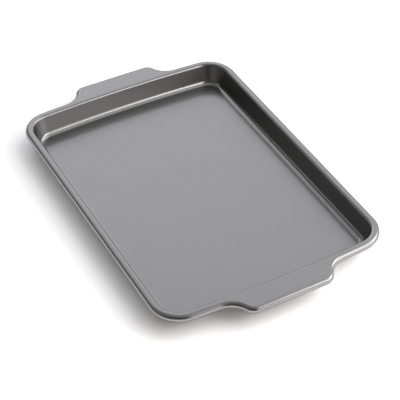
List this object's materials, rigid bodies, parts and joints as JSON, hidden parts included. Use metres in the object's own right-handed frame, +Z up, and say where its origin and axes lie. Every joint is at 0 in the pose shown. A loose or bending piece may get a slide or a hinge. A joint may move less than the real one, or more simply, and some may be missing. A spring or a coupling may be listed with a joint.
{
  "type": "cookie sheet",
  "caption": "Shallow rectangular baking pan with rounded corners, splayed walls, a wire-stiffened curled rim and a flat handle at each end.",
  "frame": {"origin": "under the middle of the pan, on the surface that its floor stands on", "axes": "+Z up out of the mouth, +Y along the pan towards one handle, +X across it"},
  "size_m": [0.254, 0.3908, 0.0234],
  "materials": {
    "coated_steel": "silver-grey metallic non-stick coating, satin, baked on steel sheet",
    "wire_steel": "plain drawn steel wire"
  },
  "bodies": {
    "root": {"pan_shell": "coated_steel", "rim_wire": "wire_steel"}
  },
  "joints": []
}
